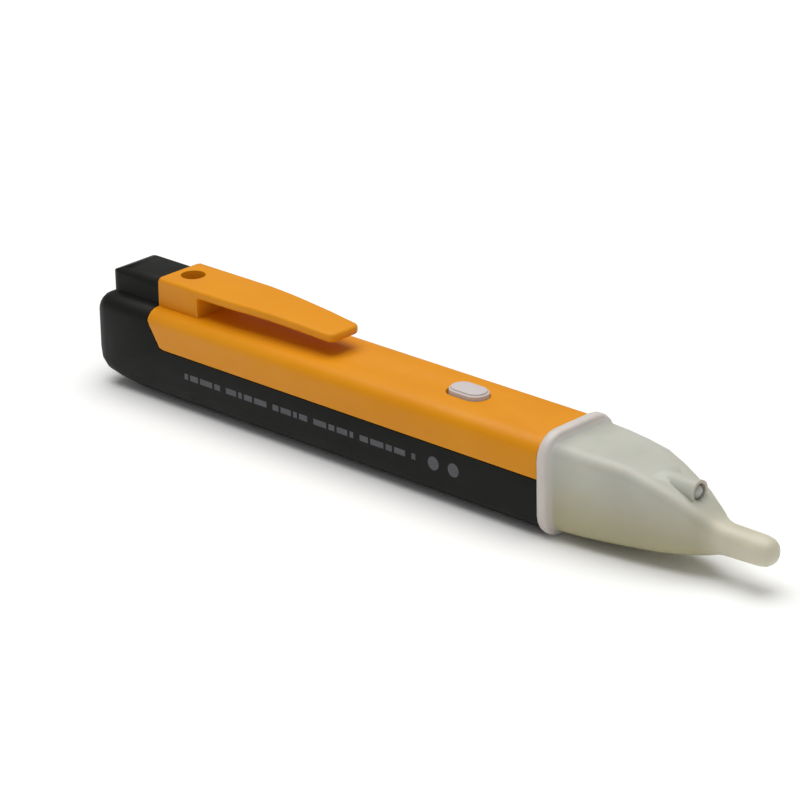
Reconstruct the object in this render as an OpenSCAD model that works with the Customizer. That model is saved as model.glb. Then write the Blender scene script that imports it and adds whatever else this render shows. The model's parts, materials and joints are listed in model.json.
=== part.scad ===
// Pen-shaped non contact voltage tester: a two-part housing with a pocket clip,
// and a front unit (clear nose, battery carrier, circuit board) that slides out forwards.
// X runs from the tail to the sensing tip, Z is up towards the push button, millimetres.

/* [Housing] */
// Width of the housing
body_w = 17; // [16.5:0.1:18]
// Height of the housing, without rib and clip
body_h = 16.7; // [16.5:0.1:17]
// Thickness of the moulded walls
wall = 1.3; // [1.1:0.1:1.4]
// Height of the parting line between the two shells, above the underside
seam_z = 9.8; // [9:0.1:11]
// Corner radius along the top edges
top_r = 2.7; // [2.2:0.1:3]
// Corner radius along the bottom edges
bottom_r = 3.8; // [3.4:0.1:4]

/* [Clip] */
// Height of the clip's upper face above the underside
clip_top = 22; // [21.6:0.1:23]
// Thickness of the clip arm
clip_t = 1.65; // [1.4:0.05:2]
// Distance of the clip's free end from the tail
clip_end = 56.8; // [50:0.2:62]
// Width of the clip at its root
clip_w = 10.7; // [10:0.1:11]
// Diameter of the sound port in the clip root
port_d = 4.5; // [3:0.1:5]

/* [Button] */
// Distance of the button's centre from the tail
button_x = 85.7; // [84:0.1:87]
// Length of the button
button_l = 7.8; // [7:0.1:9]
// Width of the button
button_w = 4.8; // [4.2:0.1:5.5]
// How far the button stands above the housing
button_proud = 1.1; // [0.8:0.1:1.6]

/* [Power] */
// Diameter of one battery cell
cell_d = 10.5; // [10.3:0.05:10.5]
// Length of one battery cell with its nub
cell_l = 44.5; // [44:0.1:44.5]

/* [Hidden] */
$fn = 48;

overall_l = 152;          // tail face to sensing tip
collar_drop = 0.7;        // the collar reaches this far below the housing
housing_l = 108.4;        // length of the two shells
seam_gap = 0.12;          // open line between the lower shell and the clip root
groove_w = 0.2;           // height of the shadow line along the parting
groove_d = 0.5;           // depth of that line
fit_gap = 0.02;           // the shells meet behind the shadow line
shell_x = 14.7;           // where the upper shell begins on the top face
rib_w = 10;               // width of the rib behind the clip
rib_top = 21.6;           // height of the rib where it meets the clip root
root_front = 24.8;        // front face of the clip root
hinge_gap = 0.15;         // parting between clip root and clip arm
port_x = 18.5;            // centre of the sound port
slot_gap = 0.15;          // clearance round the button
slot_rear = 0.5;          // how much longer the button's slot is at its rear end
cavity_w = body_w - 2 * wall;
cavity_top = body_h - wall;
clearance = 0.2;          // carrier to housing, each side
cell_z = wall + 0.8 + cell_d / 2;
cell_x = 5.5;             // rear end of the rear cell
bulkhead_x = cell_x + 2 * cell_l + 0.6;
strip_z = 8.05;           // underside of the link strip, on the carrier's wall
board_z = 12.8;           // underside of the circuit board
board_t = 0.8;
board_top = board_z + board_t;
lead_r = 0.25;
torch_z = 12.9;           // axis of the torch lamp
torch_front = 136.2;      // front face of the torch boss
torch_boss_r = 2.05;
torch_bore_r = 1.5;
torch_rear = 126.3;       // rear end of the boss, inside the nose
alert_x = 115.5;          // place of the alert lamp along the board
screw_x = 101;            // the two board screws stand here,
screw_y = 4;              // this far to each side of the middle
screw_wall_r = 1.65;      // radius of their pillars
tip_z = 6.45;             // axis of the sensing tip

// Moves a piece from tail-based places to the part's own frame.
module placed() { translate([-overall_l / 2, 0, collar_drop]) children(); }

// Extrudes a section drawn in Y and Z from x0 to x1.
module along_x(x0, x1) {
  translate([x0, 0, 0]) rotate([90, 0, 90]) linear_extrude(height = x1 - x0) children();
}

// Extrudes a side profile drawn in X and Z across the given width.
module across_y(w) { rotate([90, 0, 0]) linear_extrude(height = w, center = true) children(); }

// Solid bar between two corners, centred on Y at yc.
module bar(x0, x1, w, z0, z1, yc = 0) { translate([x0, yc - w / 2, z0]) cube([x1 - x0, w, z1 - z0]); }

// Round rod along X.
module rod_x(x0, x1, r, y, z) { translate([x0, y, z]) rotate([0, 90, 0]) cylinder(r = r, h = x1 - x0); }

// Round rod along Z.
module rod_z(x, y, z0, z1, r) { translate([x, y, z0]) cylinder(r = r, h = z1 - z0); }

// Section with its own corner radii at the top and the bottom, standing on z0.
module section(w, z0, z1, rt, rb) {
  polygon([[-w / 2, z0 + rb], [-w / 2, z1 - rt], [-w / 2 + rt, z1], [w / 2 - rt, z1],
           [w / 2, z1 - rt], [w / 2, z0 + rb], [w / 2 - rb, z0], [-w / 2 + rb, z0]]);
  for (s = [-1, 1]) {
    translate([s * (w / 2 - rt), z1 - rt]) circle(rt);
    translate([s * (w / 2 - rb), z0 + rb]) circle(rb);
  }
}

// Plan outline from x0 to x1 whose two rear corners are rounded.
module rear_rounded_plan(x0, x1, w, r) {
  polygon([[x0, -w / 2 + r], [x0 + r, -w / 2], [x1, -w / 2], [x1, w / 2], [x0 + r, w / 2], [x0, w / 2 - r]]);
  for (s = [-1, 1]) translate([x0 + r, s * (w / 2 - r)]) circle(r);
}

// Stadium: two round ends joined by a straight middle.
module stadium(l, w) {
  square([l - w, w], center = true);
  for (s = [-1, 1]) translate([s * (l - w) / 2, 0]) circle(w / 2);
}

// ---- housing -------------------------------------------------------------

ARC = 5;                  // steps round each corner of a ring
// Stations of the housing's outside. The tail is rounded on every side and its underside rises:
// [x, half width, bottom, top, top corner radius, bottom corner radius]
HOUSING_OUT = [[0, 5.4, 6.2, 13.4, 2, 2], [0.25, 6.4, 4.9, 14.6, 2.2, 2.2], [0.9, 7.3, 3.6, 15.6, 2.4, 2.4],
               [1.9, 8, 2.5, 16.3, 2.6, 2.5], [3.4, 8.45, 1.7, body_h, 2.7, 2.6],
               [6, body_w / 2, 0.85, body_h, top_r, 3.2], [11, body_w / 2, 0, body_h, top_r, bottom_r],
               [housing_l, body_w / 2, 0, body_h, top_r, bottom_r]];

// One ring of points: four corner arcs, anticlockwise as seen from the tip.
function ring(s) = [for (c = [0:3]) for (i = [0:ARC])
  let (a = c * 90 + i * 90 / ARC, r = c < 2 ? s[4] : s[5], side = (c == 0 || c == 3) ? 1 : -1)
  [s[0], side * (s[1] - r) + r * cos(a), (c < 2 ? s[3] - r : s[2] + r) + r * sin(a)]];

// Side walls between ring a and ring b.
function ring_wall(a, b, n) = [for (i = [0:n - 1])
  [a * n + i, a * n + (i + 1) % n, b * n + (i + 1) % n, b * n + i]];

module housing_outside() {
  n = 4 * (ARC + 1);
  last = len(HOUSING_OUT) - 1;
  walls = [for (k = [0:last - 1]) each ring_wall(k, k + 1, n)];
  tail = [for (i = [0:n - 1]) i];
  front = [for (i = [n - 1:-1:0]) last * n + i];
  polyhedron(points = [for (s = HOUSING_OUT) each ring(s)], faces = concat(walls, [tail], [front]),
             convexity = 4);
}

// Side profile of the space inside, which follows the rising underside of the tail.
module inner_profile(x0, drop) {
  polygon([[x0, 5.6 + drop], [3.4, 2.6 + drop], [8.5, wall + drop], [housing_l + 2, wall + drop],
           [housing_l + 2, body_h + 1], [4.5, body_h + 1], [x0, 13]]);
}

module housing_cavity() {
  intersection() {
    along_x(1, housing_l + 1) section(cavity_w, wall, cavity_top, top_r - wall, bottom_r - wall);
    across_y(body_w) inner_profile(1.6, 0);
    linear_extrude(height = body_h) rear_rounded_plan(1, housing_l + 2, cavity_w, 2.4);
  }
}

// Everything that belongs to the upper shell: above the parting line and in front of its rear edge.
module upper_side(gap) {
  across_y(body_w + 2)
    polygon([[housing_l + 1, seam_z + gap], [18.6 + gap, seam_z + gap], [17.7 + gap, seam_z + 0.2 + gap],
             [shell_x + gap, 14.8], [shell_x + gap, clip_top + 5], [housing_l + 1, clip_top + 5]]);
}

// Shadow line along the parting, cut into the upper shell's outer face only.
module shadow_line() {
  difference() {
    upper_side(0);
    upper_side(groove_w);
    along_x(-1, housing_l + 2)
      section(body_w - 2 * groove_d, groove_d, body_h - groove_d, top_r - groove_d, bottom_r - groove_d);
  }
}

// Hollow rib that carries the line of the clip on to the tail.
module tail_rib() {
  difference() {
    intersection() {
      along_x(1, shell_x) section(rib_w, 15, rib_top, 2, 0.1);
      across_y(rib_w + 2)
        polygon([[1, 14], [1, 17.4], [1.25, 18.8], [1.9, 20], [3, 20.8], [4.6, 21.3], [7.5, 21.5],
                 [shell_x, rib_top], [shell_x, 14]]);
      linear_extrude(height = 30) rear_rounded_plan(1, shell_x + 1, rib_w, 3.4);
    }
    bar(4, shell_x + 1, rib_w - 2 * wall, 14, 19);
  }
}

module lower_shell() {
  color("#222522") placed() {
    difference() {
      housing_outside();
      housing_cavity();
      upper_side(0);
    }
    tail_rib();
  }
}

// Raised block that the clip grows out of; it is hollow, and the sound port opens into it.
module clip_root() {
  along_x(shell_x + seam_gap, root_front) section(clip_w, 15.5, clip_top, 1, 0.1);
}

module upper_shell() {
  color("#e1a232") placed() {
    difference() {
      union() {
        intersection() {
          housing_outside();
          upper_side(fit_gap);
        }
        clip_root();
      }
      shadow_line();
      housing_cavity();
      bar(shell_x + 1.3, root_front - 1.3, clip_w - 2 * wall, 15, clip_top - wall);
      rod_z(port_x, 0, clip_top - 3, clip_top + 1, port_d / 2);
      translate([button_x - slot_rear / 2, 0, cavity_top - 1]) linear_extrude(height = wall + 2)
        stadium(button_l + 2 * slot_gap + slot_rear, button_w + 2 * slot_gap);
    }
  }
}

// The clip's arm keeps its width for a while, tapers, and dips towards the housing at its free end.
module pocket_clip() {
  root = root_front + hinge_gap;
  end_z = clip_top - 1;
  color("#e1a232") placed() intersection() {
    across_y(clip_w + 2)
      polygon([[root, clip_top], [40, clip_top], [clip_end, end_z], [clip_end, end_z - clip_t + 0.4],
               [clip_end - 0.5, end_z - clip_t], [40, clip_top - clip_t], [root, clip_top - clip_t]]);
    translate([0, 0, clip_top - 4]) linear_extrude(height = 6) {
      polygon([[root, -clip_w / 2], [34, -clip_w / 2], [44, -4.6], [clip_end - 1.6, -3.8], [clip_end, -2.2],
               [clip_end, 2.2], [clip_end - 1.6, 3.8], [44, 4.6], [34, clip_w / 2], [root, clip_w / 2]]);
      for (s = [-1, 1]) translate([clip_end - 1.6, s * 2.2]) circle(1.6);
    }
  }
}

// Push button: a flange inside the shell keeps it in, and it moves down on to the switch.
module power_button() {
  top = body_h + button_proud;
  color("#d8d2d0") placed() translate([button_x, 0, 0]) {
    translate([0, 0, cavity_top - 0.5]) linear_extrude(height = 0.4) stadium(button_l + 2.4, button_w + 2);
    translate([0, 0, cavity_top - 0.3]) linear_extrude(height = top - 0.35 - cavity_top + 0.3)
      stadium(button_l, button_w);
    translate([0, 0, top - 0.36]) linear_extrude(height = 0.36) stadium(button_l - 0.7, button_w - 0.7);
  }
}

// ---- nose ----------------------------------------------------------------

// Stations of the nose's outside, from the spigot inside the housing to the tip:
// [x, half width, bottom, top, top corner radius, bottom corner radius]
NOSE_OUT = [[105, 7.1, 1.4, 15.3, 1.3, 2.4], [108.5, 7.1, 1.4, 15.3, 1.3, 2.4],
            [108.5, 8.5, -0.15, 17.6, 4.1, 4], [108.75, 8.9, -0.55, 18, 4.5, 4.4],
            [109.2, 9.05, -0.7, 18.15, 4.6, 4.5], [110, 9.05, -0.7, 18.15, 4.6, 4.5],
            [110.45, 8.9, -0.55, 18, 4.5, 4.4], [110.7, 8.5, -0.15, 17.6, 4.1, 4],
            [110.9, 8, 0.4, 16.6, 2.4, 3.4], [116, 7.65, 0.65, 16.5, 2.3, 3.2], [120, 7.2, 0.9, 16.3, 2.2, 3],
            [125, 6.5, 1.3, 15.9, 2.1, 2.8], [128.6, 5.9, 1.6, 14.8, 2, 2.6], [131, 5.4, 1.8, 13.9, 2, 2.5],
            [135, 4.6, 2.3, 12.4, 2, 2.4], [137.3, 3.9, 2.7, 11.1, 2, 2.3], [139.1, 3.35, 3, 10.1, 2, 2.3],
            [140, 3, 3.2, 9.55, 2.1, 2.3], [141, 2.75, 3.5, 9.2, 2.2, 2.3], [142.3, 2.55, 3.7, 9, 2.2, 2.2],
            [149.2, 2.5, 3.9, 8.95, 2.2, 2.2], [150.7, 2.25, 4.1, 8.7, 2, 2], [151.5, 1.7, 4.65, 8.2, 1.5, 1.5],
            [152, 0.8, 5.5, 7.4, 0.7, 0.7]];
// Stations of the hollow, from the spigot's mouth to the blind end in the tip.
NOSE_IN = [[105, 6.1, 2.4, 14.3, 0.6, 1.5], [111, 6.4, 2.2, 14.9, 0.9, 1.8], [120, 6, 2.3, 15.1, 1, 1.8],
           [125, 5.3, 2.7, 14.7, 1, 1.6], [128.6, 4.7, 3.05, 13.6, 0.9, 1.4], [131, 4.2, 3.35, 12.7, 0.9, 1.3],
           [135, 3.4, 3.9, 11.2, 0.9, 1.1], [137.3, 2.6, 4.4, 9.9, 0.9, 1], [139.1, 2, 4.7, 8.8, 0.8, 0.9],
           [141, 1.4, 5.1, 7.7, 0.8, 0.8], [149.4, 1.1, 5.4, 7.5, 0.8, 0.8]];

// The hollow nose as one closed skin: outside to the tip, back along the inside, joined at the mouth.
module nose_skin() {
  n = 4 * (ARC + 1);
  outs = len(NOSE_OUT);
  rings = concat(NOSE_OUT, NOSE_IN);
  last = len(rings) - 1;
  walls_out = [for (k = [0:outs - 2]) each ring_wall(k, k + 1, n)];
  walls_in = [for (k = [outs:last - 1]) each ring_wall(k + 1, k, n)];
  mouth = ring_wall(outs, 0, n);
  tip = [for (i = [n - 1:-1:0]) (outs - 1) * n + i];
  blind = [for (i = [0:n - 1]) last * n + i];
  polyhedron(points = [for (s = rings) each ring(s)],
             faces = concat(walls_out, walls_in, mouth, [tip], [blind]), convexity = 6);
}

module nose_cap() {
  color("#c3c3b4") placed() difference() {
    union() {
      nose_skin();
      translate([torch_rear, 0, torch_z]) rotate([0, 90, 0])
        cylinder(r1 = torch_bore_r + 0.35, r2 = torch_boss_r, h = torch_front - torch_rear);
    }
    rod_x(torch_rear - 0.1, torch_front + 0.6, torch_bore_r, 0, torch_z);
  }
}

// ---- carrier, cells and contacts ------------------------------------------

// Heights of the carrier along its length: low walls, saddles over the cells, a bulkhead, a front tray.
module carrier_profile() {
  rail = 8;
  top = board_z - 0.05;
  tray = 5;
  front = 104.6;
  polygon([[1.7, 0], [1.7, rail], [13.6, rail], [13.6, top], [23.6, top], [23.6, rail], [46, rail], [46, top],
           [49.5, top], [49.5, rail], [71.5, rail], [71.5, top], [75, top], [75, rail], [bulkhead_x, rail],
           [bulkhead_x, top], [bulkhead_x + 1.5, top], [bulkhead_x + 1.5, tray], [front, tray], [front, 0]]);
}

module battery_chassis() {
  saddle_top = board_z - 0.05;
  color("#2b2b2d") placed() difference() {
    union() {
      difference() {
        intersection() {
          along_x(1.5, 105) section(cavity_w - 2 * clearance, wall + clearance, cavity_top, 1.2,
                                    bottom_r - wall);
          across_y(body_w) carrier_profile();
          across_y(body_w) inner_profile(1.8, clearance);
          linear_extrude(height = body_h) rear_rounded_plan(1.3, 106, cavity_w - 2 * clearance, 2.4);
        }
        rod_x(2.3, bulkhead_x, cell_d / 2 + 0.1, 0, cell_z);
        bar(2.3, bulkhead_x, 6, cell_z, cavity_top);
        bar(bulkhead_x + 1.5, 106, 11.4, wall + 1.1, cavity_top);
        bar(2.3, bulkhead_x + 2, 0.85, strip_z - 0.05, strip_z + 0.55, -6.675);
        for (x = [15, 35, 60, 80]) bar(x, x + 9, 5, 0, cell_z);
      }
      for (s = [-1, 1]) rod_z(screw_x, s * screw_y, wall + 0.8, saddle_top, screw_wall_r);
    }
    for (s = [-1, 1]) rod_z(screw_x, s * screw_y, 8, board_z, 0.8);
  }
}

// One cell: a can with a nub at its front end.
module cell(x) {
  rod_x(x, x + cell_l - 1.1, cell_d / 2, 0, cell_z);
  rod_x(x + cell_l - 1.2, x + cell_l, 1.9, 0, cell_z);
}

module cell_rear() { color("#b8860b") placed() cell(cell_x); }

module cell_front() { color("#b8860b") placed() cell(cell_x + cell_l + 0.1); }

// Coil of wire along Z as one closed skin: rings of SIDES points on a helix.
module coil(r, wire, h, turns) {
  sides = 8;
  steps = 16 * turns;
  pts = [for (i = [0:steps]) for (j = [0:sides - 1])
    let (t = 360 * turns * i / steps, a = 360 * j / sides, d = r + wire * cos(a))
    [d * cos(t), d * sin(t), wire + (h - 2 * wire) * i / steps + wire * sin(a)]];
  walls = [for (i = [0:steps - 1]) for (j = [0:sides - 1])
    [i * sides + j, (i + 1) * sides + j, (i + 1) * sides + (j + 1) % sides, i * sides + (j + 1) % sides]];
  start = [for (j = [0:sides - 1]) j];
  end = [for (j = [sides - 1:-1:0]) steps * sides + j];
  polyhedron(points = pts, faces = concat(walls, [start], [end]), convexity = 8);
}

module rear_contact_spring() {
  color("#c8c8c4") placed() translate([2.65, 0, cell_z]) rotate([0, 90, 0]) coil(2.6, 0.25, 2.75, 3);
}

module front_contact_plate() {
  color("#c8c8c4") placed() bar(bulkhead_x - 0.4, bulkhead_x - 0.05, 7, cell_z - 3, cell_z + 3.2);
}

// Strip from the rear contact along the carrier's wall to the board.
module link_strip() {
  strip_y = -6.65;
  rise_x = bulkhead_x + 3.1;
  color("#c8c8c4") placed() {
    bar(2.32, 2.6, 7, cell_z - 3, cell_z + 3);
    bar(2.32, 2.6, 4.1, strip_z, strip_z + 1.1, -4.9);
    bar(2.32, rise_x + 0.4, 0.6, strip_z, strip_z + 0.3, strip_y);
    bar(rise_x, rise_x + 0.4, 0.6, strip_z, board_z - 0.1, strip_y);
    bar(rise_x, rise_x + 0.4, 2.2, board_z - 0.5, board_z - 0.1, -5.85);
  }
}

// ---- electronics ----------------------------------------------------------

module circuit_board() {
  color("#2f6b3a") placed() difference() {
    translate([0, 0, board_z]) linear_extrude(height = board_t)
      polygon([[72, -5.5], [113, -5.5], [126, -3.8], [126, 3.8], [113, 5.5], [72, 5.5]]);
    for (s = [-1, 1]) rod_z(screw_x, s * screw_y, board_z - 1, board_top + 1, 0.9);
  }
}

module tact_switch() {
  color("#3a3a3c") placed() difference() {
    bar(button_x - 2.25, button_x + 2.25, 4.5, board_top + 0.05, board_top + 0.8);
    rod_z(button_x, 0, board_top + 0.1, board_top + 2, 1.25);
  }
}

module switch_plunger() {
  color("#1a1a1a") placed() rod_z(button_x, 0, board_top + 0.6, cavity_top - 0.55, 1.2);
}

module piezo_disc() {
  color("#c9a24a") placed() {
    rod_z(port_x, 0, board_z, board_z + 0.5, 4.4);
    rod_z(port_x, 0, board_z + 0.45, board_z + 1.7, 3.6);
  }
}

module piezo_leads() {
  color("#8c1c1c") placed() for (s = [-1, 1])
    rod_x(port_x + 3.7, 73.5, 0.35, s * 1.2, board_top + 0.42);
}

// Lamp with a domed end along +X: collar, barrel and dome.
module torch_led() {
  color("#f4f4ee") placed() {
    rod_x(130.7, 131.5, 1.46, 0, torch_z);
    rod_x(131.4, 135, 1.38, 0, torch_z);
    translate([135, 0, torch_z]) sphere(1.38);
  }
}

module torch_led_leads() {
  color("#c8c8c4") placed() for (s = [-1, 1]) rod_x(124.4, 130.65, 0.2, s * 0.9, board_z - 0.25);
}

module alert_led() {
  color("#c81e1e") placed() {
    rod_z(alert_x, 0, 10.6, 11.4, 1.9);
    rod_z(alert_x, 0, 8, 10.7, 1.5);
    translate([alert_x, 0, 8]) sphere(1.5);
  }
}

module alert_led_leads() {
  color("#c8c8c4") placed() for (s = [-1, 1]) rod_z(alert_x, s * 1.27, 11.45, board_z - 0.05, lead_r);
}

// Thin blade that reaches into the sensing tip.
module sensing_antenna() {
  color("#c9a24a") placed() {
    bar(119, 148.8, 1.6, tip_z - 0.15, tip_z + 0.15);
    bar(117.6, 137, 4, tip_z - 0.15, tip_z + 0.15);
  }
}

module antenna_spring() {
  color("#c8c8c4") placed() translate([120.5, 0, tip_z + 0.2]) coil(1.3, 0.18, board_z - tip_z - 0.3, 6);
}

// Chip body with a row of legs on each side.
module controller_chip() {
  chip_x = bulkhead_x + 0.2;
  color("#151515") placed() {
    bar(chip_x, chip_x + 5, 3.9, board_top + 0.15, board_top + 1.5);
    for (i = [0:3]) bar(chip_x + 0.4 + i * 1.27, chip_x + 0.8 + i * 1.27, 6, board_top + 0.03, board_top + 0.4);
  }
}

module surface_mount_parts() {
  color("#8a7a60") placed() {
    for (x = [104, 109.5]) for (s = [-1, 1]) bar(x, x + 1, 0.5, board_top + 0.03, board_top + 0.43, s * 2.6);
    for (x = [77, 79.2]) for (s = [-1, 1]) bar(x, x + 1.6, 0.8, board_top + 0.03, board_top + 0.6, s * 4.4);
    for (i = [0:3]) bar(112 + i * 2.2, 113 + i * 2.2, 0.5, board_top + 0.03, board_top + 0.43);
  }
}

module transistors() {
  color("#151515") placed() for (s = [-1, 1]) {
    bar(73.4, 76.3, 1.3, board_top + 0.1, board_top + 1, s * 3.8);
    for (x = [73.6, 75.7]) bar(x, x + 0.4, 2.4, board_top + 0.03, board_top + 0.25, s * 3.8);
  }
}

module reservoir_capacitor() {
  color("#3b3f46") placed() {
    rod_z(103, 0, 6.5, board_z - 0.35, 2);
    rod_z(103, 0, board_z - 0.4, board_z - 0.05, 1.7);
  }
}

module boost_inductor() {
  color("#5a4632") placed() {
    rod_z(110, 0, 9.2, 9.8, 2.4);
    rod_z(110, 0, 9.7, board_z - 0.6, 1.7);
    rod_z(110, 0, board_z - 0.7, board_z - 0.05, 2.4);
  }
}

module board_screws() {
  color("#c8c8c4") placed() for (s = [-1, 1]) difference() {
    union() {
      rod_z(screw_x, s * screw_y, board_top + 0.02, board_top + 0.75, 1.35);
      rod_z(screw_x, s * screw_y, 9, board_top + 0.1, 0.7);
    }
    for (a = [0, 90]) translate([screw_x, s * screw_y, board_top + 0.7]) rotate(a)
      cube([1.6, 0.35, 0.6], center = true);
  }
}

lower_shell();
upper_shell();
pocket_clip();
power_button();
nose_cap();
battery_chassis();
circuit_board();
tact_switch();
switch_plunger();
cell_rear();
cell_front();
rear_contact_spring();
front_contact_plate();
link_strip();
piezo_disc();
piezo_leads();
torch_led();
torch_led_leads();
alert_led();
alert_led_leads();
sensing_antenna();
antenna_spring();
controller_chip();
surface_mount_parts();
transistors();
reservoir_capacitor();
boost_inductor();
board_screws();
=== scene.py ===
# %% [markdown]
# # A pen-shaped voltage tester
#
# The tester is a square moulded pen: a black lower shell, a yellow upper shell with a pocket clip, a pale
# push button, and a frosted nose that narrows to the sensing tip. A torch lamp sits in a small boss on the
# nose. Behind the nose a carrier with two cells and the circuit board slides out forwards. The imported frame
# already has every piece at its real size, so this lesson loads it, softens the moulded edges, models the
# clip as one piece, adds the small printed marks, and gives each finish its own material.

# %% Load the frame
import json
import math

import bpy
from mathutils import Matrix, Vector


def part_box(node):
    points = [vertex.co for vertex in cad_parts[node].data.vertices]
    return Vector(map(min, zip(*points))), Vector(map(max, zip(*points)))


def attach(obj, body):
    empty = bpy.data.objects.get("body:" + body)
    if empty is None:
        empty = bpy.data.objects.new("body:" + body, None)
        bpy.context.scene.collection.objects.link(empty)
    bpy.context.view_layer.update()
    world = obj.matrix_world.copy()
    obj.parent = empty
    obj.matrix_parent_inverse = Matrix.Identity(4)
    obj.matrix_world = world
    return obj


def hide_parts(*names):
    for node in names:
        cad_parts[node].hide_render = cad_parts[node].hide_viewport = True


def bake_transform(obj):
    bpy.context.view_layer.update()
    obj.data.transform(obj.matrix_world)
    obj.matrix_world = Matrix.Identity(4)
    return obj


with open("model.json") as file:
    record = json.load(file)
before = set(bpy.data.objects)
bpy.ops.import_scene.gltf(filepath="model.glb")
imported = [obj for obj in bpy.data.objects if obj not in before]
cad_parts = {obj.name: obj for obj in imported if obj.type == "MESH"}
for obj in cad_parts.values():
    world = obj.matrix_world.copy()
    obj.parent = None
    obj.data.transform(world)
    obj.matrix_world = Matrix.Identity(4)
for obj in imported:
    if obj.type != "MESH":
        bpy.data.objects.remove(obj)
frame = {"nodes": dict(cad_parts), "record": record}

MM = 0.001
COLOUR_A, COLOUR_B, MIXED_COLOUR = 6, 7, 2      # the Mix node's sockets that carry colours
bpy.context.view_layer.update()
body_of = {name: body for body, names in frame["record"]["behaviour"]["bodies"].items() for name in names}

# %% [markdown]
# ## Small helpers
#
# Operators act on whatever is selected, and the loaded nodes start out selected. So every step begins by
# deselecting everything, and one helper makes a single object the one that operators act on. Faces and
# edges are picked in code, by where they are, the way a modeller would click on them.

# %% Selection helpers
def only(piece):
    """Leaves edit mode and makes one object the selected and active one."""
    if bpy.context.object and bpy.context.object.mode != "OBJECT":
        bpy.ops.object.mode_set(mode="OBJECT")
    bpy.ops.object.select_all(action="DESELECT")
    piece.select_set(True)
    bpy.context.view_layer.objects.active = piece
    return piece


def pick(piece, part, test):
    """In edit mode, selects the faces or edges whose centre (and face normal) pass the test."""
    bpy.ops.mesh.select_mode(type="FACE" if part == "faces" else "EDGE")
    bpy.ops.mesh.select_all(action="DESELECT")
    bpy.ops.object.mode_set(mode="OBJECT")
    mesh = piece.data
    count = 0
    if part == "faces":
        for face in mesh.polygons:
            face.select = test(face.center, face.normal)
            count += face.select
    else:
        for edge in mesh.edges:
            a, b = (mesh.vertices[i].co for i in edge.vertices)
            edge.select = test(a, b)
            count += edge.select
    bpy.ops.object.mode_set(mode="EDIT")
    return count


def box_between(name, low, high):
    """A cube primitive stretched between two corners, with its place in its mesh."""
    middle, size = (Vector(low) + Vector(high)) / 2, Vector(high) - Vector(low)
    bpy.ops.object.select_all(action="DESELECT")
    bpy.ops.mesh.primitive_cube_add(size=1, location=middle, scale=size)
    piece = bpy.context.object
    piece.name = piece.data.name = name
    bpy.ops.object.transform_apply(location=True, rotation=True, scale=True)
    return piece


def add_modifier(piece, kind, **settings):
    """Adds one modifier, sets it and applies it."""
    only(piece)
    modifier = piece.modifiers.new(kind.lower(), kind)
    for key, value in settings.items():
        setattr(modifier, key, value)
    bpy.ops.object.modifier_apply(modifier=modifier.name)
    return piece


def smooth(piece, degrees=32):
    """Shades smooth, but keeps edges sharper than the angle."""
    only(piece)
    bpy.ops.object.shade_smooth_by_angle(angle=math.radians(degrees))
    return piece


# %% [markdown]
# ## Materials
#
# Every colour is written as an sRGB hex value and turned to linear by one function. One more function adds
# a node with its settings and its links. Numbers that are the same all over a surface are set on the
# shader's own socket. Texture sizes come from real sizes in millimetres: a noise of scale s repeats about
# every 1/s metres.

# %% Colour and node functions
def linear(hex_value):
    """sRGB hex such as '#e1a232' to linear RGBA."""
    channels = [int(hex_value[i:i + 2], 16) / 255 for i in (1, 3, 5)]
    return [c / 12.92 if c <= 0.04045 else ((c + 0.055) / 1.055) ** 2.4 for c in channels] + [1.0]


def add_node(tree, kind, links=(), inputs=(), **settings):
    """Adds one node: settings are its properties, inputs its socket values, links (socket, node, its socket)."""
    node = tree.nodes.new("ShaderNode" + kind)
    for key, value in settings.items():
        setattr(node, key, value)
    for socket, value in dict(inputs).items():
        node.inputs[socket].default_value = value
    for socket, source, output in links:
        tree.links.new(source.outputs[output], node.inputs[socket])
    return node


def new_material(name, colour, **sockets):
    """An empty material with one Principled shader, its colour and its uniform numbers."""
    material = bpy.data.materials.new(name)
    material.use_nodes = True
    material.diffuse_color = linear(colour)
    shader = material.node_tree.nodes["Principled BSDF"]
    shader.inputs["Base Color"].default_value = linear(colour)
    for socket, value in sockets.items():
        shader.inputs[socket.replace("_", " ")].default_value = value
    return material, material.node_tree, shader


# %% [markdown]
# Moulded ABS takes the texture of its mould. A spark-eroded mould leaves a fine grit of about 0.1 mm, too
# fine to show here, so it is drawn at 0.35 mm. Handling polishes some patches, which makes the roughness
# wander over a few centimetres, and the colour of a moulding drifts a little too, where the plastic flowed.

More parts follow.
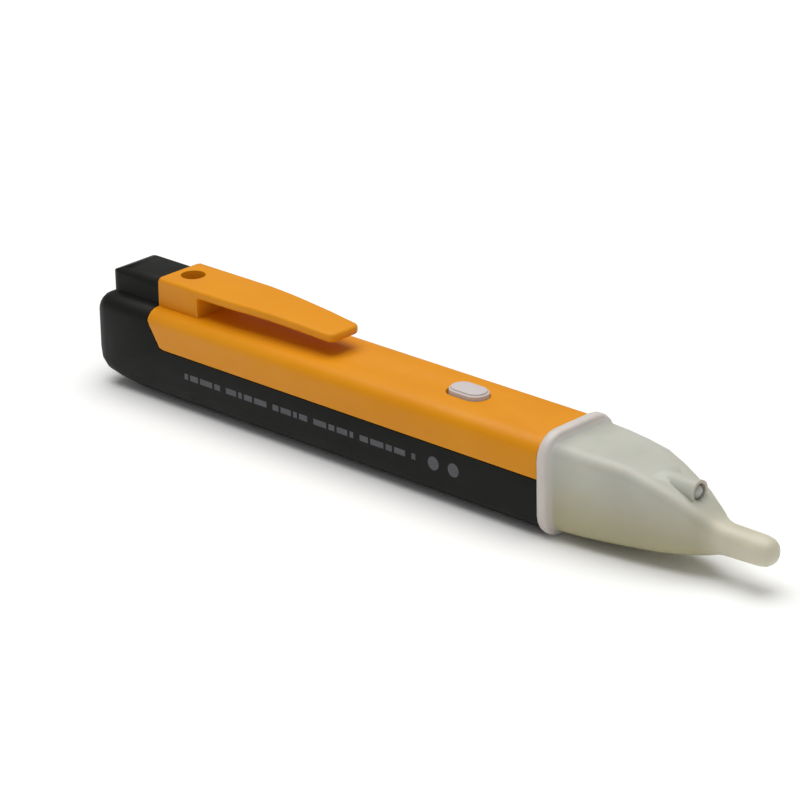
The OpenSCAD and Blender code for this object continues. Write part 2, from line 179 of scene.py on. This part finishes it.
# %% Moulded plastic
def moulded_plastic(name, colour, drift_colour, roughness, grit_mm=0.35, grit=0.012, drift_mm=18.0,
                    rough_spread=0.08, **sockets):
    material, tree, shader = new_material(name, colour, Roughness=roughness, **sockets)
    place = add_node(tree, "TexCoord")
    drift = add_node(tree, "TexNoise", [("Vector", place, "Object")],
                     {"Scale": 1 / (drift_mm * MM), "Detail": 3.0, "Roughness": 0.6})
    tint = add_node(tree, "ValToRGB", [("Fac", drift, "Fac")])
    tint.color_ramp.elements[0].position, tint.color_ramp.elements[1].position = 0.3, 0.7
    tint.color_ramp.elements[0].color = linear(colour)
    tint.color_ramp.elements[1].color = linear(drift_colour)
    tree.links.new(tint.outputs["Color"], shader.inputs["Base Color"])
    handled = add_node(tree, "TexNoise", [("Vector", place, "Object")],
                       {"Scale": 1 / (0.4 * drift_mm * MM), "Detail": 4.0, "Roughness": 0.7})
    spread = add_node(tree, "MapRange", [("Value", handled, "Fac")],
                      {"From Min": 0.3, "From Max": 0.7, "To Min": roughness - rough_spread,
                       "To Max": roughness + rough_spread})
    tree.links.new(spread.outputs["Result"], shader.inputs["Roughness"])
    grain = add_node(tree, "TexNoise", [("Vector", place, "Object")],
                     {"Scale": 1 / (grit_mm * MM), "Detail": 2.0, "Roughness": 0.5})
    bump = add_node(tree, "Bump", [("Height", grain, "Fac")], {"Strength": 0.35, "Distance": grit * MM})
    tree.links.new(bump.outputs["Normal"], shader.inputs["Normal"])
    return material


black_abs = moulded_plastic("moulded black ABS", "#161815", "#1b1d1a", 0.5, IOR=1.53,
                            Specular_IOR_Level=0.12)
yellow_abs = moulded_plastic("moulded yellow ABS", "#db8b04", "#e09209", 0.46, IOR=1.53,
                             Specular_IOR_Level=0.2)
button_abs = moulded_plastic("moulded white ABS", "#c2bab8", "#c9c1bf", 0.5, grit=0.006, IOR=1.53)
carrier_abs = moulded_plastic("moulded carrier ABS", "#2b2b2d", "#313133", 0.55, IOR=1.53)
component_epoxy = moulded_plastic("moulded component epoxy", "#17181a", "#1d1e20", 0.6, drift_mm=3.0, IOR=1.55)
print("moulded plastics:", [m.name for m in bpy.data.materials])

# %% [markdown]
# The nose is frosted polycarbonate: milky, and light wanders inside it, which subsurface scattering with a
# path of a few millimetres gives. Its colour is painted warmer and darker low down: painted shade, for the
# light from above that reaches the lower part less. The solid collar and the solid tip are paler than the
# thin-walled hood. All follow the place on the piece, so they stay with it.

# %% Frosted polycarbonate
def frosted_polycarbonate(name, top_colour, shaded_low_colour, collar_colour, tip_colour, collar_front, tip_start,
                          z_low, z_high):
    material, tree, shader = new_material(name, top_colour, Roughness=0.42, IOR=1.585, Subsurface_Weight=0.25,
                                          Subsurface_Scale=2 * MM, Specular_IOR_Level=0.4)
    place = add_node(tree, "TexCoord")
    split = add_node(tree, "SeparateXYZ", [("Vector", place, "Object")])
    # Painted shade: the hood runs from the darker, warmer low colour up to the top colour with height.
    rise = add_node(tree, "MapRange", [("Value", split, "Z")], {"From Min": z_low, "From Max": z_high},
                    interpolation_type="SMOOTHSTEP")
    hood = add_node(tree, "Mix", [("Factor", rise, "Result")], data_type="RGBA")
    hood.inputs[COLOUR_A].default_value = linear(shaded_low_colour)
    hood.inputs[COLOUR_B].default_value = linear(top_colour)
    front = add_node(tree, "MapRange", [("Value", split, "X")],
                     {"From Min": collar_front - 0.4 * MM, "From Max": collar_front + 1.2 * MM},
                     interpolation_type="SMOOTHSTEP")
    whole = add_node(tree, "Mix", [("Factor", front, "Result")], data_type="RGBA")
    whole.inputs[COLOUR_A].default_value = linear(collar_colour)
    tree.links.new(hood.outputs[MIXED_COLOUR], whole.inputs[COLOUR_B])
    near_tip = add_node(tree, "MapRange", [("Value", split, "X")],
                        {"From Min": tip_start, "From Max": tip_start + 5 * MM},
                        interpolation_type="SMOOTHSTEP")
    tipped = add_node(tree, "Mix", [("Factor", near_tip, "Result")], data_type="RGBA")
    tree.links.new(whole.outputs[MIXED_COLOUR], tipped.inputs[COLOUR_A])
    tipped.inputs[COLOUR_B].default_value = linear(tip_colour)
    clouds = add_node(tree, "TexNoise", [("Vector", place, "Object")], {"Scale": 1 / (9 * MM), "Detail": 2.0})
    veil = add_node(tree, "MapRange", [("Value", clouds, "Fac")],
                    {"From Min": 0.3, "From Max": 0.7, "To Min": 0.93, "To Max": 1.04})
    cloudy = add_node(tree, "Mix", (), {"Factor": 1.0}, data_type="RGBA", blend_type="MULTIPLY")
    tree.links.new(tipped.outputs[MIXED_COLOUR], cloudy.inputs[COLOUR_A])
    tree.links.new(veil.outputs["Result"], cloudy.inputs[COLOUR_B])
    tree.links.new(cloudy.outputs[MIXED_COLOUR], shader.inputs["Base Color"])
    haze = add_node(tree, "MapRange", [("Value", clouds, "Fac")],
                    {"From Min": 0.3, "From Max": 0.7, "To Min": 0.38, "To Max": 0.47})
    tree.links.new(haze.outputs["Result"], shader.inputs["Roughness"])
    frost = add_node(tree, "TexNoise", [("Vector", place, "Object")], {"Scale": 1 / (0.8 * MM), "Detail": 1.0})
    bump = add_node(tree, "Bump", [("Height", frost, "Fac")], {"Strength": 0.1, "Distance": 0.004 * MM})
    tree.links.new(bump.outputs["Normal"], shader.inputs["Normal"])
    return material


nose_low, nose_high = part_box("nose_cap")
collar_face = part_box("lower_shell")[1].x + 2.3 * MM
# The second colour is painted shade, the darker, warmer low part of the nose.
nose_pc = frosted_polycarbonate("frosted polycarbonate", "#bcbcb0", "#aba582", "#d0cac4", "#ccc8b2",
                                collar_face, nose_high.x - 14 * MM, nose_low.z + 3 * MM, nose_low.z + 15 * MM)

# %% [markdown]
# The inside pieces have their own finishes: solder mask on the board, a printed sleeve on the cells,
# nickel-plated steel springs, brass, clear and red epoxy lamps, a shrunk capacitor sleeve, ferrite and
# ceramic chips. Metal keeps the default IOR, and fine brushed streaks run along X at about 0.3 mm.

# %% Metals and small finishes
def plated_metal(name, colour, roughness, streak_mm=0.3):
    material, tree, shader = new_material(name, colour, Roughness=roughness, Metallic=1.0)
    place = add_node(tree, "TexCoord")
    along = add_node(tree, "Mapping", [("Vector", place, "Object")], {"Scale": (0.15, 1.0, 1.0)})
    streaks = add_node(tree, "TexNoise", [("Vector", along, "Vector")],
                       {"Scale": 1 / (streak_mm * MM), "Detail": 3.0})
    polish = add_node(tree, "MapRange", [("Value", streaks, "Fac")],
                      {"From Min": 0.3, "From Max": 0.7, "To Min": roughness - 0.07,
                       "To Max": roughness + 0.1})
    tree.links.new(polish.outputs["Result"], shader.inputs["Roughness"])
    bump = add_node(tree, "Bump", [("Height", streaks, "Fac")], {"Strength": 0.2, "Distance": 0.006 * MM})
    tree.links.new(bump.outputs["Normal"], shader.inputs["Normal"])
    return material


def cell_sleeve(name, colour, band_colour):
    """Printed sleeve: a band of the second colour round the rear third, told apart by the place along X."""
    material, tree, shader = new_material(name, colour, Roughness=0.3, Metallic=0.4)
    place = add_node(tree, "TexCoord")
    split = add_node(tree, "SeparateXYZ", [("Vector", place, "Object")])
    wave = add_node(tree, "Math", [("Value", split, "X")], {1: 1 / (44.6 * MM)}, operation="MULTIPLY")
    part = add_node(tree, "Math", [("Value", wave, "Value")], operation="FRACT")
    step = add_node(tree, "Math", [("Value", part, "Value")], {1: 0.6}, operation="GREATER_THAN")
    mix = add_node(tree, "Mix", [("Factor", step, "Value")], data_type="RGBA")
    mix.inputs[COLOUR_A].default_value = linear(colour)
    mix.inputs[COLOUR_B].default_value = linear(band_colour)
    tree.links.new(mix.outputs[MIXED_COLOUR], shader.inputs["Base Color"])
    return material


plated_steel = plated_metal("nickel-plated steel", "#c9c8c4", 0.26)
brass = plated_metal("brass", "#c9a24a", 0.3)
sleeve = cell_sleeve("printed cell sleeve", "#b8862b", "#26282b")
solder_mask = moulded_plastic("green solder mask", "#23643a", "#2a6e42", 0.32, grit_mm=0.5, drift_mm=4.0)
lead_pvc = moulded_plastic("red PVC insulation", "#8c1c1c", "#941f1f", 0.38, drift_mm=6.0)
clear_epoxy = moulded_plastic("clear cast epoxy", "#e9e9e2", "#f2f2ec", 0.12, grit=0.002, rough_spread=0.04,
                              Transmission_Weight=0.5, IOR=1.54)
red_epoxy = moulded_plastic("red cast epoxy", "#c41c1c", "#cf2424", 0.14, grit=0.002, rough_spread=0.04,
                            Transmission_Weight=0.3, IOR=1.54)
shrink_sleeve = moulded_plastic("shrunk capacitor sleeve", "#3b3f46", "#424750", 0.3, drift_mm=3.0)
ferrite = moulded_plastic("sintered ferrite", "#4a3d30", "#554738", 0.7, grit=0.03, drift_mm=2.0)
chip_ceramic = moulded_plastic("ceramic chip", "#8a7a60", "#95866c", 0.45, drift_mm=1.0)
print_ink = moulded_plastic("grey printing ink", "#424248", "#4a4a50", 0.5, drift_mm=5.0)

# %% [markdown]
# ## Softening the moulded edges
#
# No moulding has a perfectly sharp edge, and the thin bright line along each edge is what makes plastic
# look real. The nodes could be shown as they are, but their triangles are loose and their edges sharp. So
# each one is duplicated, its doubles are merged, its flat faces are joined again, and a bevel of a fraction
# of a millimetre rounds its edges. The copy then stands for the node.

# %% A softened copy of a node
def softened(node, material, bevel_mm, degrees=32, segments=2):
    piece = bpy.data.objects.new(node + "_finished", frame["nodes"][node].data.copy())
    bpy.context.scene.collection.objects.link(piece)
    only(piece)
    bpy.ops.object.mode_set(mode="EDIT")
    bpy.ops.mesh.select_all(action="SELECT")
    bpy.ops.mesh.remove_doubles(threshold=0.002 * MM)
    bpy.ops.mesh.dissolve_limited(angle_limit=math.radians(0.5))
    bpy.ops.object.mode_set(mode="OBJECT")
    if bevel_mm:
        add_modifier(piece, "BEVEL", width=bevel_mm * MM, segments=segments, limit_method="ANGLE",
                     angle_limit=math.radians(degrees), miter_outer="MITER_ARC")
    smooth(piece, degrees)
    piece.data.materials.clear()
    piece.data.materials.append(material)
    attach(piece, body_of[node])
    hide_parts(node)
    return piece


# %% Shells, button and nose
lower_shell = softened("lower_shell", black_abs, 0.18)
upper_shell = softened("upper_shell", yellow_abs, 0.18)
button = softened("power_button", button_abs, 0.32, segments=3)
nose = softened("nose_cap", nose_pc, 0.0, degrees=38)
for piece in (lower_shell, upper_shell, button, nose):
    print(piece.name, len(piece.data.polygons), "faces")

# %% [markdown]
# ## The inside
#
# The carrier, the cells and the parts on the board show only when the front unit is pulled out. They get
# the same treatment with a much smaller bevel, and each its own finish.

# %% Carrier, cells, contacts and electronics
inside = {
    "battery_chassis": (carrier_abs, 0.12), "circuit_board": (solder_mask, 0.05),
    "tact_switch": (component_epoxy, 0.06), "switch_plunger": (component_epoxy, 0.08),
    "cell_rear": (sleeve, 0.25), "cell_front": (sleeve, 0.25),
    "rear_contact_spring": (plated_steel, 0.0), "front_contact_plate": (plated_steel, 0.05),
    "link_strip": (plated_steel, 0.05), "piezo_disc": (brass, 0.08), "piezo_leads": (lead_pvc, 0.05),
    "torch_led": (clear_epoxy, 0.06), "torch_led_leads": (plated_steel, 0.03),
    "alert_led": (red_epoxy, 0.06), "alert_led_leads": (plated_steel, 0.03),
    "sensing_antenna": (brass, 0.04), "antenna_spring": (plated_steel, 0.0),
    "controller_chip": (component_epoxy, 0.04), "surface_mount_parts": (chip_ceramic, 0.03),
    "transistors": (component_epoxy, 0.03), "reservoir_capacitor": (shrink_sleeve, 0.15),
    "boost_inductor": (ferrite, 0.1), "board_screws": (plated_steel, 0.06),
}
for node, (material, bevel_mm) in inside.items():
    softened(node, material, bevel_mm)
print("inside pieces:", len(inside))

# %% [markdown]
# ## The pocket clip
#
# Root block and arm are one moulding, and the arm bends along its root when something is pushed under it. A
# box the size of the root block is the start. A cut across its front face marks where the arm grows out,
# and the upper part of that face is extruded forwards in steps, narrower and a little lower each time. The
# block sits a hair proud of the shell's own root, so that block and arm read as one skin.

# %% Sizes of the clip
arm_low, arm_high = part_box("pocket_clip")
shell_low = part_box("upper_shell")[0]
skin = 0.03 * MM                        # how far the block stands proud of the shell's root
root_rear = shell_low.x + 0.05 * MM
root_front = arm_low.x - 0.15 * MM + skin
arm_thick = 1.65 * MM
half_w = arm_high.y + skin
clip_top = arm_high.z
button_proud = 1.1 * MM                 # how far the button stands above the shell
body_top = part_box("power_button")[1].z - button_proud
port_radius = 2.22 * MM
port_x = shell_low.x + 3.78 * MM        # the middle of the sound port
print("clip from", round(root_rear / MM, 2), "to", round(arm_high.x / MM, 2), "mm")

# %% Root block and arm
clip = box_between("pocket_clip_moulding", (root_rear, -half_w, body_top - 0.6 * MM),
                   (root_front, half_w, clip_top + skin))
only(clip)
bpy.ops.object.mode_set(mode="EDIT")
bpy.ops.mesh.select_all(action="SELECT")
bpy.ops.mesh.bisect(plane_co=(0, 0, clip_top - arm_thick), plane_no=(0, 0, 1))
# Steps of the arm: how far along from the root's front, half width, drop of its top.
steps = [(3.0, 5.38, 0), (8.5, 5.34, 0), (13.5, 4.98, 0), (18.5, 4.6, 0.16), (24.5, 4.22, 0.48),
         (29.0, 3.88, 0.82), (32.0, 3.66, 1.0)]
pick(clip, "faces", lambda c, n: n.x > 0.9 and c.z > clip_top - arm_thick)
place, width, drop = 0.0, 5.38, 0.0
for along, half, down in steps:
    bpy.ops.mesh.extrude_region_move(
        TRANSFORM_OT_translate={"value": ((along - place) * MM, 0, (drop - down) * MM)})
    bpy.ops.transform.resize(value=(1, half / width, 1), center_override=(root_front, 0, 0))
    place, width, drop = along, half, down
bpy.ops.object.mode_set(mode="OBJECT")
print("clip faces:", len(clip.data.polygons))

# %% [markdown]
# The free end has generous corners in plan, so its two upright edges are beveled by themselves. Then the
# sound port is drilled through the block with a boolean, and a last bevel softens every edge that is still
# sharp.

# %% Round the end, drill the port, soften
end_x = root_front + steps[-1][0] * MM
only(clip)
bpy.ops.object.mode_set(mode="EDIT")
pick(clip, "edges", lambda a, b: min(a.x, b.x) > end_x - 0.1 * MM and abs(a.y - b.y) < 0.01 * MM)
bpy.ops.mesh.bevel(offset=1.4 * MM, segments=5, affect="EDGES")
bpy.ops.object.mode_set(mode="OBJECT")
bpy.ops.object.select_all(action="DESELECT")
bpy.ops.mesh.primitive_cylinder_add(vertices=48, radius=port_radius, depth=20 * MM,
                                    location=(port_x, 0, clip_top))
drill = bpy.context.object
add_modifier(clip, "BOOLEAN", operation="DIFFERENCE", object=drill, solver="EXACT")
bpy.data.objects.remove(drill)
add_modifier(clip, "BEVEL", width=0.6 * MM, segments=4, limit_method="ANGLE", angle_limit=math.radians(40),
             miter_outer="MITER_ARC")
smooth(clip, 40)
clip.data.materials.append(yellow_abs)
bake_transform(clip)
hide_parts("pocket_clip")

# %% [markdown]
# ## Printed marks
#
# The real shell carries a line of small print on its side. Here it is a row of plain bars and two plain
# dots, with no lettering. A bar is a thin box, made once and copied along the row, each copy stretched to
# its own length.

# %% A row of plain bars and two dots
side_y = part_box("lower_shell")[0].y
row_z = 7.1 * MM                        # the middle of the row of marks
bar_height = 1.1 * MM
ink = 0.015 * MM                        # the ink stands this far out of the side
dash = box_between("dash", (0, side_y - ink, row_z - bar_height / 2),
                   (MM, side_y + ink, row_z + bar_height / 2))
dash.data.materials.append(print_ink)
marks = []
cursor = shell_low.x + 9.5 * MM
row_end = shell_low.x + 66.5 * MM
while cursor < row_end:
    length = (0.9 + 0.55 * (len(marks) * 7 % 5)) * MM
    gap = (1.5 if len(marks) % 4 == 3 else 0.55) * MM
    bar = dash.copy()
    bar.data = dash.data.copy()
    bpy.context.scene.collection.objects.link(bar)
    bar.data.transform(Matrix.Translation((cursor, 0, 0)) @ Matrix.Diagonal((length / MM, 1, 1, 1)))
    marks.append(bar)
    cursor += length + gap
for offset in (70.3, 74.9):
    bpy.ops.object.select_all(action="DESELECT")
    bpy.ops.mesh.primitive_cylinder_add(vertices=32, radius=1.25 * MM, depth=2 * ink,
                                        location=(shell_low.x + offset * MM, side_y, row_z),
                                        rotation=(math.pi / 2, 0, 0))
    disc = bpy.context.object
    bpy.ops.object.transform_apply(location=True, rotation=True, scale=True)
    disc.data.materials.append(print_ink)
    marks.append(disc)
bpy.data.objects.remove(dash)
bpy.ops.object.select_all(action="DESELECT")
for mark in marks:
    mark.select_set(True)
bpy.context.view_layer.objects.active = marks[0]
bpy.ops.object.join()
printed = bpy.context.object
printed.name = "printed_marks"
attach(printed, "housing")
print("marks:", len(marks))

# %% [markdown]
# ## Floor, light and camera
#
# A pale floor and a big soft light from above left, with a weaker one from the front, give the even light
# of a product table. The camera is a long lens, a little above the pen and in front of its tip.

# %% Floor
bpy.ops.object.select_all(action="DESELECT")
bpy.ops.mesh.primitive_plane_add(size=6.0, location=(0, 0, 0))
floor = bpy.context.object
floor.name = "floor"
floor_paint, _, floor_shader = new_material("pale matt floor", "#fbfbfa", Roughness=0.9)
floor_shader.inputs["Specular IOR Level"].default_value = 0.1
floor.data.materials.append(floor_paint)

# %% Light
def area_light(name, place, target, size, watts, colour="#ffffff"):
    lamp = bpy.data.lights.new(name, "AREA")
    lamp.shape, lamp.size, lamp.energy = "DISK", size, watts
    lamp.color = linear(colour)[:3]
    holder = bpy.data.objects.new(name, lamp)
    bpy.context.scene.collection.objects.link(holder)
    holder.location = place
    holder.rotation_mode = "QUATERNION"
    holder.rotation_quaternion = (Vector(target) - Vector(place)).to_track_quat("-Z", "Y")
    return holder


area_light("key", (-0.12, 0.05, 0.9), (0, 0, 0), 1.1, 9.0)
area_light("fill", (0.8, -0.4, 0.6), (0, 0, 0), 0.8, 0.35)
world = bpy.data.worlds.new("soft room")
bpy.context.scene.world = world
world.use_nodes = True
world.node_tree.nodes["Background"].inputs["Color"].default_value = linear("#ffffff")
world.node_tree.nodes["Background"].inputs["Strength"].default_value = 0.3
bpy.context.scene.view_settings.view_transform = "Standard"

# %% Camera
lens = bpy.data.cameras.new("camera")
lens.lens, lens.sensor_width = 177.3, 36.0
lens.clip_start, lens.clip_end = 0.01, 20.0
camera = bpy.data.objects.new("camera", lens)
bpy.context.scene.collection.objects.link(camera)
bpy.context.scene.camera = camera
azimuth, elevation, roll = math.radians(43.717), math.radians(22.297), math.radians(-1.191)
back = Vector((math.sin(azimuth) * math.cos(elevation), -math.cos(azimuth) * math.cos(elevation),
               math.sin(elevation)))
level = Vector((math.cos(azimuth), math.sin(azimuth), 0))
upright = back.cross(level)
right = math.cos(roll) * level + math.sin(roll) * upright
up = math.cos(roll) * upright - math.sin(roll) * level
aim = Vector((-4.43, -2.26, 13.18)) * MM
spot = aim + back * 678.31 * MM
camera.matrix_world = Matrix((
    (right.x, up.x, back.x, spot.x), (right.y, up.y, back.y, spot.y), (right.z, up.z, back.z, spot.z),
    (0, 0, 0, 1)))
print("camera at", [round(v, 4) for v in spot])
